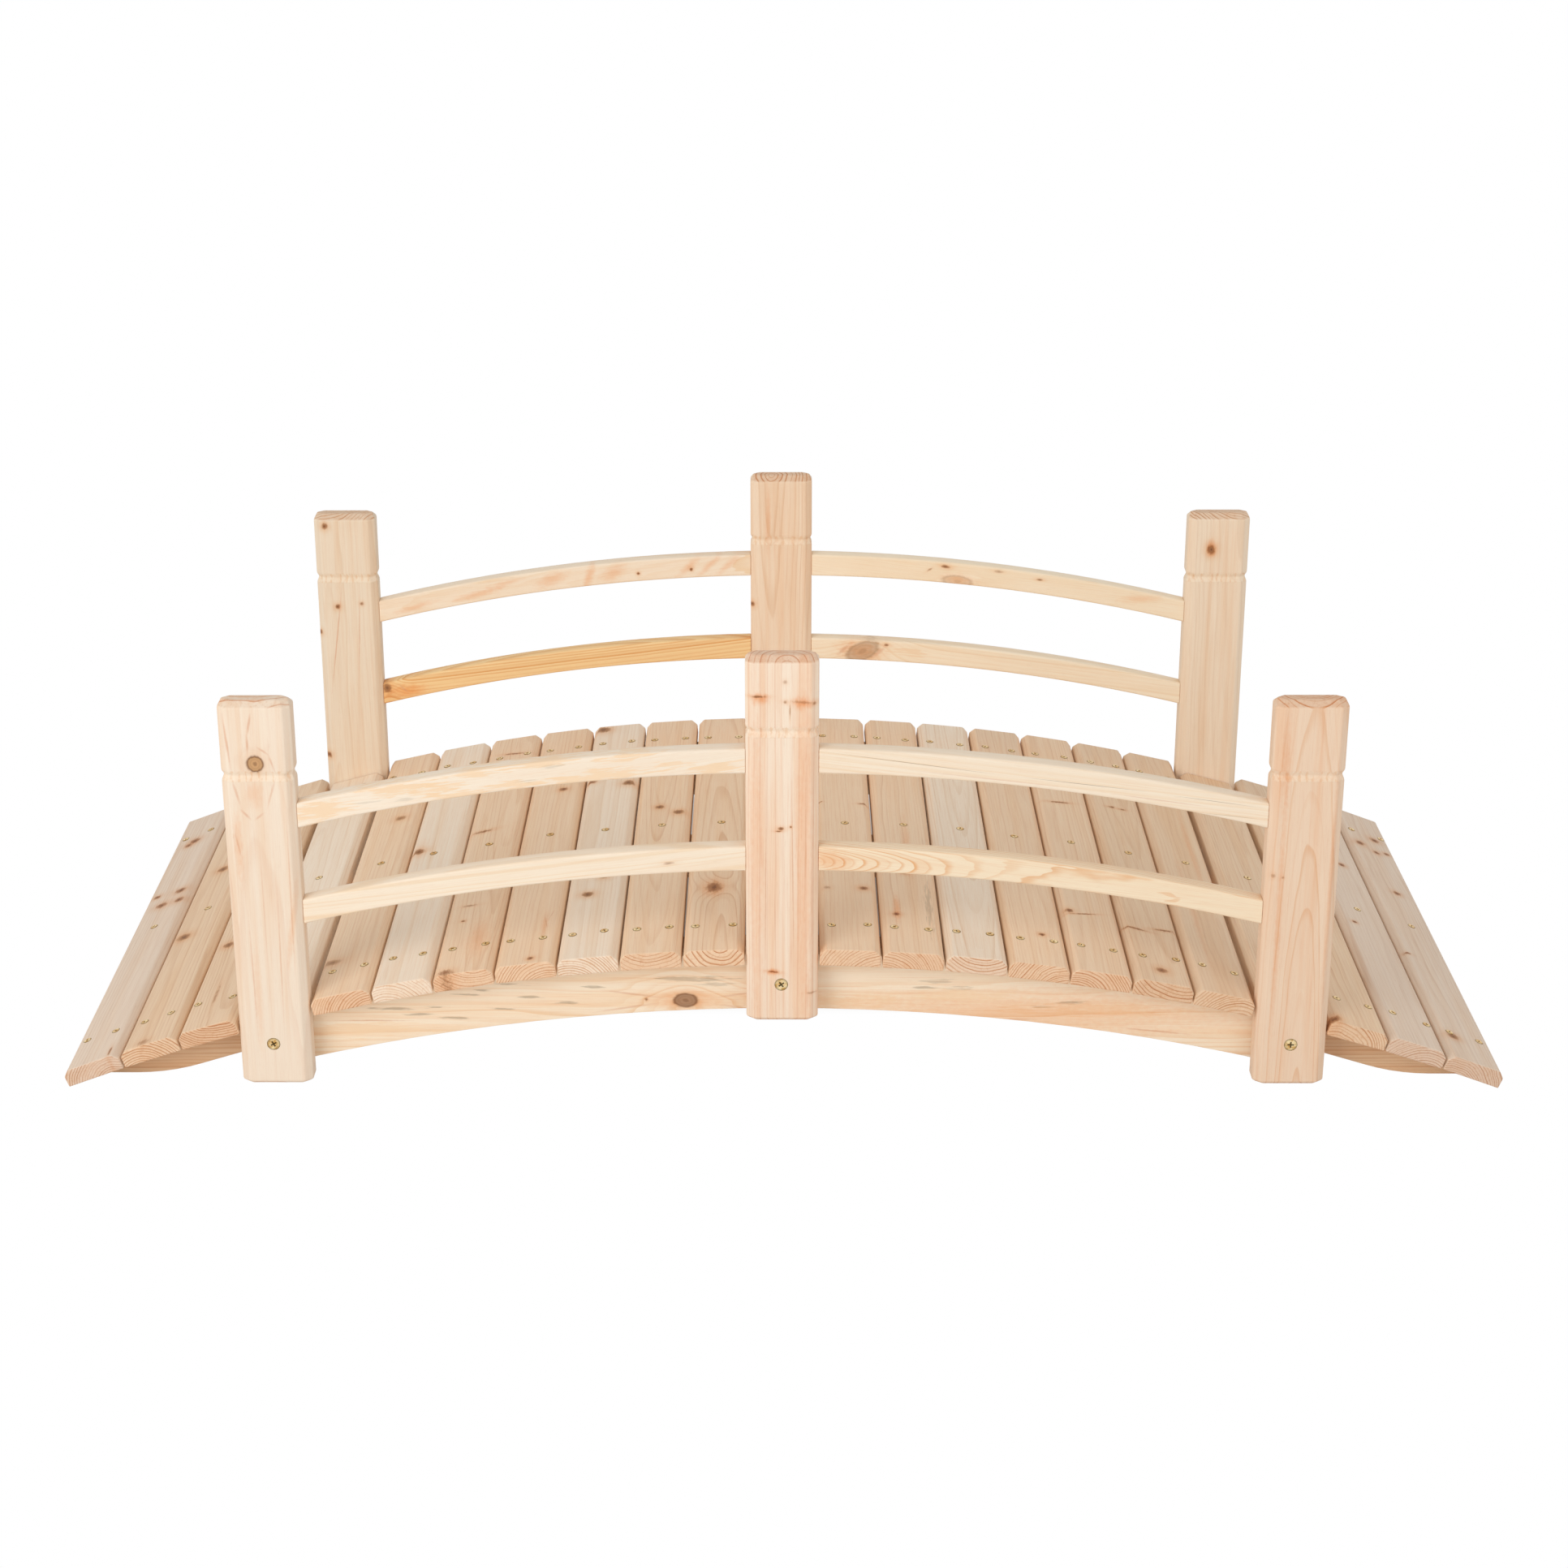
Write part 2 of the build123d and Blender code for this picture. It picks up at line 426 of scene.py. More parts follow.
@dataclass(frozen=True)
class Timber:
    """The look of one sawn and planed board of raw softwood."""

    name: str
    early: Colour
    late: Colour
    lie: Lie
    ring: float = 3.0
    pith_across: float = 0.0
    pith_through: float = 40.0
    lean_across: float = 0.0
    lean_through: float = 0.0
    drift: float = 4.0
    drift_length: float = 190.0
    drift_width: float = 34.0
    contrast: float = 0.75
    sharp: float = 0.45
    streak: float = 0.20
    fleck: float = 0.16
    cloud: float = 0.35
    end_tint: float = 0.5
    end_rings: float = 0.85
    warm: Colour = paint(244, 214, 184)
    marks: tuple[Mark, ...] = ()
    band: Span | None = None
    seed: float = 0.0

    def dress(self, piece: bpy.types.Object) -> None:
        """Give a piece this timber."""
        skin, bench = new_finish(self.name)
        self._build(bench)
        slots = piece.material_slots
        if not slots:
            piece.data.materials.append(skin)
        for slot in slots:
            slot.material = skin

    def _build(self, bench: Bench) -> None:
        """Lay out the nodes of the timber."""
        along, across, through = bench.split(self.lie.millimetres(bench))

        def grained(grain: Grain, output: str = "Fac") -> Wire:
            """Noise drawn out along the fibres."""
            return bench.noise(bench.point(along / grain.length + self.seed, across / grain.width,
                                           through / grain.width + self.seed), grain.detail, output)

        drifting = Grain(self.drift_length, self.drift_width, DRIFT_DETAIL)
        sway, heave, drop = bench.split(grained(drifting, "Color"))
        stripe, crumb, fray, fibre, hair = (grained(g) for g in (STRIPE, CRUMB, FRAY, FIBRE, HAIR))
        facing = bench.node("NewGeometry", output="True Normal")
        end = abs(bench.node("VectorMath", {"operation": "DOT_PRODUCT"},
                             {0: facing, 1: self.lie.along}, "Value")).ease(*END_FACE)

        late, tone = self._rings(bench, along, across, through, sway, heave)
        late = late * (self.contrast + end * self.end_rings)
        colour = bench.mix(late, self.early, self.late)
        patches = (stripe * STRIPE_SHARE + drop * DROP_SHARE).ease(*PATCHES)
        colour = bench.mix(patches * self.cloud, colour, self.warm, "MULTIPLY")
        colour = bench.mix((tone - 0.5) * (TONE_SHARE * self.contrast), colour, self.late)
        colour = bench.mix(fibre.ease(*DARK_FIBRES) * self.streak, colour, self.late, "MULTIPLY")
        colour = bench.mix(fibre.ease(*PALE_FIBRES) * self.streak, colour, FIBRE_LIGHT, "SOFT_LIGHT")
        colour = bench.mix(hair.ease(*DARK_HAIRS) * self.fleck, colour, FLECK, "MULTIPLY")
        colour = bench.mix(end * self.end_tint, colour, END_GRAIN, "MULTIPLY")
        colour = bench.mix(end * crumb.ease(*PORES) * PORE_SHARE, colour, END_PORES, "MULTIPLY")
        colour = bench.mix(end * late * END_RING_SHARE, colour, END_RINGS, "MULTIPLY")
        rough = ROUGH + (fibre - 0.5) * ROUGH_FIBRE + end * ROUGH_END
        height = fibre * HIGH_FIBRE + hair * HIGH_HAIR + end * crumb * HIGH_END
        if self.band is not None:
            middle, half = self.band
            tear = crumb + abs((across * TOOTH_RATE + sway * TOOTH_SWAY).wave()) * TOOTH_SIZE
            off = along - middle
            groove = ((abs(off) + tear * off.ease(*TORN_SIDE) * TORN_REACH)
                      .ease(half + GROOVE_FADE, half + GROOVE_FULL))
            colour = bench.mix(groove * FUZZ_SHARE, colour, GROOVE_FUZZ)
            colour = bench.mix(groove * tear.ease(*PITS) * PIT_SHARE, colour, GROOVE_PITS, "MULTIPLY")
            height = height + groove * tear * HIGH_GROOVE
            rough = rough + groove * ROUGH_GROOVE
        for mark in self.marks:
            if mark.strength:
                colour, body = self._mark(bench, mark, colour, along, across, crumb, fray)
                if mark.kind.value.dent:
                    height = height - body * mark.kind.value.dent
        bumped = bench.node("Bump", None, {"Strength": BUMP_STRENGTH, "Distance": BUMP_DEPTH,
                                           "Height": height})
        board = bench.node("BsdfPrincipled", None,
                           {"Base Color": colour, "Roughness": rough, "Normal": bumped,
                            "Specular IOR Level": GLOSS})
        bench.node("OutputMaterial", None, {"Surface": board})

    def _rings(self, bench: Bench, along: Wire, across: Wire, through: Wire,
               sway: Wire, heave: Wire) -> tuple[Wire, Wire]:
        """Growth rings about the heart of the tree, bent round the knots.

        Args:
            bench: Where the nodes go.
            along: Place along the board.
            across: Place across the board.
            through: Place through the board.
            sway: Slow noise that shifts the rings sideways.
            heave: Slow noise that shifts the rings up and down.

        Returns:
            The share of late wood, and a tone that differs from ring to ring.
        """
        side = across - self.pith_across + (sway - 0.5) * (SWAY_GAIN * self.drift)
        deep = through - self.pith_through + (heave - 0.5) * (SWAY_GAIN * self.drift)
        if self.lean_across:
            side = side - along * self.lean_across
        if self.lean_through:
            deep = deep - along * self.lean_through
        radius = (side * side + deep * deep).root()
        for mark in self.marks:
            if mark.kind.value.rim:
                a, b = mark.offsets(along, across)
                spread = (a * a + b * b) * (1.0 / mark.reach ** 2)
                radius = radius + spread.bell() * (mark.lift * mark.half_width)
        count = radius / self.ring
        shift = bench.noise(bench.point(radius / RING_SPREAD_REACH, self.seed, 0.5), detail=1.0)
        count = count + shift * RING_SPREAD
        place = count.part()
        tone = bench.node("TexWhiteNoise", {"noise_dimensions": "1D"},
                          {"W": count.whole() + self.seed}, "Value")
        late = place.ease(self.sharp, LATE_FULL) * place.ease(1.0, LATE_STOP)
        return late * (tone * LATE_MORE + LATE_LEAST), tone

    def _mark(self, bench: Bench, mark: Mark, colour: Wire, along: Wire, across: Wire,
              crumb: Wire, fray: Wire) -> tuple[Wire, Wire]:
        """Paint one mark over the board.

        Args:
            bench: Where the nodes go.
            mark: The mark.
            colour: The board's colour so far.
            along: Place along the board.
            across: Place across the board.
            crumb: Fine noise that makes the mark's edge ragged.
            fray: Noise drawn out along the fibres, for a frayed edge.

        Returns:
            The new colour, and how strongly the mark shows.
        """
        look = mark.kind.value
        a, b = mark.offsets(along, across)
        rough_edge = (fray if look.frayed else crumb) - 0.5
        far = (a * a + b * b).root() + rough_edge * (2.0 * look.ragged)
        body = far.ease(1.0, 1.0 - look.soft) * min(1.0, look.strength * mark.strength)
        if look.glow:
            glow = (far * far * GLOW_FALL).bell() * (look.glow * mark.strength)
            colour = bench.mix(glow, colour, KNOT_GLOW, "MULTIPLY")
        colour = bench.mix(body, colour, look.colour, look.mode)
        if look.rim:
            rings = ((far * KNOT_RINGS).wave() * 0.5 + 0.5) * body * KNOT_RING_SHARE
            colour = bench.mix(rings, colour, KNOT_RIM)
            edge = (far - RIM_PLACE) * RIM_SHARP
            colour = bench.mix((edge * edge).bell() * (look.rim * mark.strength), colour, KNOT_RIM)
        if look.heart:
            heart = far.ease(*HEART) * (look.heart * mark.strength)
            colour = bench.mix(heart, colour, KNOT_HEART)
        return colour, body


def lie_of(node: str, along: Vector, across: Vector) -> Lie:
    """Lie of a board about the middle of its box.

    Args:
        node: The board's name.
        along: Direction of its fibres.
        across: Direction of its width.

    Returns:
        The board's lie.
    """
    low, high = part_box(node)
    return Lie((Vector(low) + Vector(high)) / 2.0, along, across)


@dataclass(frozen=True)
class EasedEdge:
    """Edges that planing and sanding have rounded."""

    width: float
    segments: int = 2
    weld_reach: float = 0.00001
    flat_angle: float = math.radians(0.3)
    sharp_angle: float = math.radians(18.0)
    profile: float = 0.5
    own_material: int = -1

    def ease(self, piece: bpy.types.Object) -> None:
        """Round a board's sharp edges."""
        weld = piece.modifiers.new("joined_corners", "WELD")
        weld.merge_threshold = self.weld_reach
        flat = piece.modifiers.new("whole_faces", "DECIMATE")
        flat.decimate_type, flat.angle_limit = "DISSOLVE", self.flat_angle
        bevel = piece.modifiers.new("eased_edges", "BEVEL")
        bevel.width, bevel.segments = self.width, self.segments
        bevel.limit_method, bevel.angle_limit = "ANGLE", self.sharp_angle
        bevel.loop_slide, bevel.profile, bevel.material = False, self.profile, self.own_material


@dataclass(frozen=True)
class Cut:
    """Where a slat lies in its log: the distance to the heart, and the ring's width."""

    heart_across: float
    heart_through: float
    heart_lean: float
    ring: float
    contrast: float


class Figure(Enum):
    """How a slat was sawn from the log, which its top face shows."""

    STRAIGHT = Cut(26.0, 30.0, 0.0, 2.8, 0.36)
    ARCHED = Cut(3.0, -30.0, 0.040, 4.2, 0.48)
    PLAIN = Cut(12.0, -40.0, 0.020, 3.4, 0.36)


@dataclass(frozen=True)
class WoodTone:
    """Colours of early and late wood."""

    early: Colour
    late: Colour


class SlatWood(Enum):
    """The kinds of board the slats were picked from."""

    PALE = WoodTone(paint(251, 232, 209), paint(230, 196, 160))
    ROSY = WoodTone(paint(248, 218, 185), paint(222, 174, 132))
    TAN = WoodTone(paint(241, 211, 178), paint(214, 168, 126))
    DUN = WoodTone(paint(238, 216, 194), paint(208, 172, 142))


@dataclass(frozen=True)
class SlatLook:
    """What one slat shows: its kind of board, how it was sawn, and its marks."""

    wood: SlatWood
    figure: Figure
    hand: float = 1.0
    marks: tuple[Mark, ...] = ()


PALE, ROSY, TAN, DUN = SlatWood
STRAIGHT, ARCHED, PLAIN = Figure
SLAT_LOOKS = (
    SlatLook(DUN, STRAIGHT, 1.0, (
        pin(249, -1, 9.0), pin(240, -8, 6.0), pin(91, 14, 8.5), pin(62, 18, 8), pin(63, -5, 8.5),
        pin(95, -18, 6.0), scar(-318, 21, 2, 12))),
    SlatLook(TAN, STRAIGHT, -1.0, (
        dead(115, -2, 8.4), dead(-63, -15, 9.8), scar(-322, -6, 9, 7, strength=0.6))),
    SlatLook(TAN, PLAIN, 1.0, (
        dead(-127, -13, 7.7), scar(-255, -2, 2.2, 26, strength=0.6))),
    SlatLook(PALE, PLAIN, -1.0),
    SlatLook(ROSY, STRAIGHT, 1.0, (
        dead(129, 8, 8.4, strength=0.7), dead(-247, -20, 12.6, half_length=8, strength=0.6))),
    SlatLook(PALE, STRAIGHT, -1.0, (
        dead(13, -22, 9.1), blush(13, -20, 12, 60, strength=0.25))),
    SlatLook(ROSY, PLAIN, 1.0, (
        scar(40, -14, 14, 4, lean=-14), scar(-164, -8, 10, 3, strength=0.6), pin(-202, -12, 2.8),
        scar(275, 3, 16, 3, lean=8), scar(-325, -18, 10, 8), blush(-250, 10, 18, 70, strength=0.5))),
    SlatLook(ROSY, STRAIGHT, 1.0, (
        pin(137, 8, 6.2), pin(-317, 6, 4.4), vein(-232, 16, 0.9, 26, lean=-9, strength=0.7),
        vein(-214, 21, 0.8, 16, lean=12, strength=0.7), blush(-240, 15, 6, 40, strength=0.5))),
    SlatLook(PALE, STRAIGHT, -1.0, (
        dead(-127, 7, 7.7), dead(-172, -9, 7.7), pin(151, -25, 7.5), dead(137, 21, 9.1),
        dead(318, -20, 11.2))),
    SlatLook(ROSY, ARCHED, 1.0, (dead(56, -5, 6.3), dead(38, 18, 7.7))),
    SlatLook(ROSY, ARCHED, -1.0, (
        dead(-174, -3, 11.0, half_length=16.0), knot(-174, -3, 10.0, lift=1.3, reach=2.4, strength=0.0),
        blush(-176, -3, 17, 28, strength=0.45),
        vein(-192, -9, 0.8, 9, lean=-38, strength=0.5), vein(-192, 4, 0.8, 9, lean=38, strength=0.5))),
    SlatLook(TAN, PLAIN, 1.0),
    SlatLook(ROSY, STRAIGHT, 1.0, (
        pin(-175, 18, 6.2), pin(-176, -22, 5, strength=0.4), scar(62, -27, 4, 2), scar(59, 24, 6, 2.5))),
    SlatLook(ROSY, STRAIGHT, -1.0, (
        pin(-237, -15, 5), blush(-222, -14, 6, 50, strength=0.8), pin(-129, -2, 5),
        blush(-60, 4, 7, 120, strength=0.5),
        stain(-215, 22, 5.0, 70, strength=0.6), stain(-80, 23, 3, 50, strength=0.4))),
    SlatLook(PALE, ARCHED, 1.0),
    SlatLook(ROSY, STRAIGHT, 1.0, (pin(-256, 8, 4.4),)),
    SlatLook(ROSY, STRAIGHT, -1.0, (
        pin(-185, -22, 5.6), scar(-189, -6, 17, 1.6, lean=-14), scar(121, -4, 15, 3, lean=-8))),
    SlatLook(TAN, PLAIN, 1.0, (
        scar(-205, -18, 16, 2.6, lean=12), scar(-198, 16, 15, 3.0, lean=-6), pin(-300, 0, 7.5),
        scar(133, -5, 6, 3), scar(131, 8, 5, 3))),
    SlatLook(TAN, STRAIGHT, 1.0, (
        blush(-120, -8, 7, 190, strength=0.4), blush(40, 15, 6, 200, strength=0.4))),
    SlatLook(TAN, PLAIN, 1.0),
    SlatLook(TAN, STRAIGHT, -1.0, (pin(-321, -28, 8.1), pin(60, 10, 4.4))),
    SlatLook(DUN, STRAIGHT, 1.0, (pin(131, 5, 5.6), pin(-40, -14, 3.8))),
    SlatLook(DUN, STRAIGHT, -1.0, (
        pin(230, -16, 7.5), pin(257, 9, 7.5), pin(215, 3, 5.6), pin(222, 18, 5), pin(97, 4, 6.2),
        scar(-83, -24, 5, 3), dead(-278, -16, 7.7))),
)


@dataclass(frozen=True)
class SlatSpread:
    """Least and most of what differs from slat to slat."""

    ring: Span = (0.85, 1.2)
    heart_across: Span = (-8.0, 8.0)
    heart_through: Span = (0.8, 1.2)
    lean: Span = (-0.012, 0.012)
    drift: Span = (1.0, 2.2)
    contrast: Span = (0.85, 1.15)
    sharp: Span = (0.40, 0.65)
    streak: Span = (0.16, 0.28)
    cloud: Span = (0.10, 0.30)
    end_tint: Span = (0.15, 0.65)
    seed: Span = (0.0, 90.0)


@dataclass
class Deck:
    """The walking deck: 23 slats laid over the arch."""

    arch_radius: float = 2.078
    slat_thickness: float = 0.019
    slat_chamfer: float = 0.0065
    slats: int = 23
    seed: int = 41
    edge: EasedEdge = EasedEdge(0.0014)
    warm: Colour = paint(244, 218, 186)
    drift_length: float = 230.0
    spread: SlatSpread = SlatSpread()

    def angle(self, number: int) -> float:
        """Lean of a slat from level, found from the middle of its box."""
        low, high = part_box(self.node(number))
        seat = self.arch_radius + (self.slat_thickness - self.slat_chamfer) / 2.0
        return math.asin((low[0] + high[0]) / 2.0 / seat)

    def node(self, number: int) -> str:
        """Name of a slat, counted from the left."""
        return f"deck_slat_{number:02d}"

    def top(self, number: int, across: float, along: float) -> Matrix:
        """Seat of a fitting on a slat's upper face.

        Args:
            number: Slat, counted from the left.
            across: Distance from the slat's middle line, in metres.
            along: Distance from the bridge's middle line, in metres.

        Returns:
            Place and turn of a fitting that stands on the face.
        """
        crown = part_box(self.node((self.slats + 1) // 2))[0][2]
        lean = self.angle(number)
        rise = self.arch_radius + self.slat_thickness
        x = rise * math.sin(lean) + across * math.cos(lean)
        z = crown - self.arch_radius + rise * math.cos(lean) - across * math.sin(lean)
        return Matrix.Translation((x, along, z)) @ Matrix.Rotation(lean, 4, "Y")

    def dress(self) -> None:
        """Give each slat its own board of timber."""
        draw, spread = random.Random(self.seed), self.spread

        def pick(span: Span) -> float:
            """Draw one value for a slat."""
            return draw.uniform(*span)

        for number, look in enumerate(SLAT_LOOKS, start=1):
            node, lean = self.node(number), self.angle(number)
            cut, tone, piece = look.figure.value, look.wood.value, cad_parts[node]
            lie = lie_of(node, Vector((0.0, 1.0, 0.0)), Vector((math.cos(lean), 0.0, -math.sin(lean))))
            timber = Timber(
                f"slat_{number:02d}_softwood", tone.early, tone.late, lie,
                ring=cut.ring * pick(spread.ring),
                pith_across=look.hand * cut.heart_across + pick(spread.heart_across),
                pith_through=cut.heart_through * pick(spread.heart_through),
                lean_through=cut.heart_lean * look.hand, lean_across=pick(spread.lean),
                drift=pick(spread.drift), drift_length=self.drift_length,
                contrast=cut.contrast * pick(spread.contrast), sharp=pick(spread.sharp),
                streak=pick(spread.streak), cloud=pick(spread.cloud), warm=self.warm,
                end_tint=pick(spread.end_tint), marks=look.marks, seed=pick(spread.seed))
            timber.dress(piece)
            self.edge.ease(piece)
            log.info("deck: %s dressed", node)


# Fields of a timber, apart from its name and lie.
Look = dict[str, object]

POST_LOOKS: dict[str, Look] = {
    "front_left_post": dict(
        early=paint(244, 225, 203), late=paint(228, 186, 156), ring=9.0, pith_across=-6.0,
        pith_through=64.0, lean_through=0.035, drift=2.4, drift_length=200.0, drift_width=44.0,
        contrast=0.24, sharp=0.72, cloud=0.4, streak=0.14, end_tint=0.1, seed=3.1, marks=(
            knot(151.5, -1.0, 8.8, lift=1.0, reach=2.2),
            *several(blush, (118, -4, 13, 24, 0, 0.45), (60, -24, 7, 60, 0, 0.6),
                     (-30, 27, 5, 70, 8, 0.5), (-120, -14, 6, 90, 0, 0.35)),
            *several(vein, (118, -22, 2.2, 24, -14, 0.55), (95, -14, 2.2, 11, -42, 0.60),
                     (93, 0, 2.0, 9, 50, 0.50), (118, 13.5, 2.0, 24, 17, 0.50),
                     (176, -29, 2.0, 40, -5.5, 0.75), (195, -5, 2.2, 18, 12, 0.75),
                     (173, -7.8, 2.0, 12, 0, 0.75), (166, 7.4, 1.8, 10, -54, 0.6),
                     (152, 16, 1.8, 14, -17, 0.6), (60, -24, 1.6, 22, -10, 0.6),
                     (-70, 12, 1.4, 120, 0.8, 0.45), (-90, -18, 1.4, 100, -0.6, 0.45),
                     (10, 27, 1.2, 120, 0.5, 0.5), (-20, -2, 1.2, 90, 0, 0.35)))),
    "front_middle_post": dict(
        early=paint(250, 229, 206), late=paint(226, 174, 138), ring=7.0, pith_across=5.0,
        pith_through=-21.0, lean_through=0.004, drift=0.9, drift_length=260.0, contrast=0.40,
        sharp=0.72, cloud=0.5, streak=0.24, warm=paint(246, 210, 178), end_tint=0.65,
        end_rings=0.45, seed=7.7, marks=(
            blush(-20, -27, 10, 260, strength=0.55), blush(-20, 24, 13, 260, strength=0.55),
            blush(160, -22, 14, 9), scar(163, -24, 9, 1.6, strength=1.1), blush(156, 20, 17, 10),
            scar(157, 21, 15, 2.0, lean=4, strength=0.5), pin(157, 3, 2.2, strength=0.5),
            pin(155, 33, 2.6, strength=0.6), pin(179, 3, 2.6, strength=0.35),
            scar(147, 8, 0.9, 11, strength=0.7), pin(17, -1, 4.0, 2.2, strength=0.9),
            scar(14, -4, 4, 1.0), pin(19, 9, 1.6), scar(-147, -10, 7, 1.5, lean=8),
            blush(-147, -10, 11, 6), scar(-172, 31, 6, 1.6, strength=0.5),
            *several(vein, (-50, -17, 0.9, 150, 0.5, 0.75), (-30, 11, 1.0, 150, -0.6, 0.75),
                     (0, 24, 0.8, 130, 0.4, 0.65), (-60, -31, 0.8, 120, 0, 0.5)))),
    "front_right_post": dict(
        early=paint(241, 212, 184), late=paint(226, 172, 126), ring=5.0, pith_across=6.0,
        pith_through=5.0, lean_through=0.058, lean_across=-0.012, drift=1.3, drift_length=150.0,
        contrast=0.52, sharp=0.70, cloud=0.35, streak=0.16, end_tint=0.35, seed=12.4,
        warm=paint(248, 208, 172), marks=(
            pin(26, -30, 3, strength=0.4), pin(24, -20, 2, strength=0.4),
            *several(blush, (-20, -22, 5, 210, 0, 0.6), (10, 30, 4, 200, 0, 0.5),
                     (150, -24, 8, 70, 0, 0.5)))),
    "rear_left_post": dict(
        early=paint(240, 222, 198), late=paint(226, 192, 156), ring=3.8, pith_across=-30.0,
        pith_through=40.0, lean_through=0.012, drift=2.0, contrast=0.36, seed=21.0, sharp=0.6, marks=(
            pin(205, -24, 5), pin(100, -13, 4.2), pin(104, 17, 3.0, strength=0.7), pin(-100, -35, 5),
            pin(65, -37, 4), vein(58, -16, 1.4, 90, lean=8, strength=0.8),
            vein(60, 12, 1.2, 90, lean=3, strength=0.6))),
    "rear_middle_post": dict(
        early=paint(247, 223, 196), late=paint(229, 190, 152), ring=5.0, pith_across=-12.0,
        pith_through=6.0, lean_through=-0.05, drift=1.8, contrast=0.5, sharp=0.6, seed=30.2, marks=(
            pin(40, -36, 4), blush(150, -16, 5, 60, strength=0.5))),
    "rear_right_post": dict(
        early=paint(248, 228, 203), late=paint(226, 196, 164), ring=3.2, pith_across=30.0,
        pith_through=44.0, lean_through=-0.012, drift=1.8, contrast=0.26, seed=44.9, marks=(
            blush(176, -9, 7, 18, strength=0.4), dead(174, -9, 6.0, 7.5, strength=1.05),
            pin(174, -9, 4.4, 6.0, strength=1.1))),
}

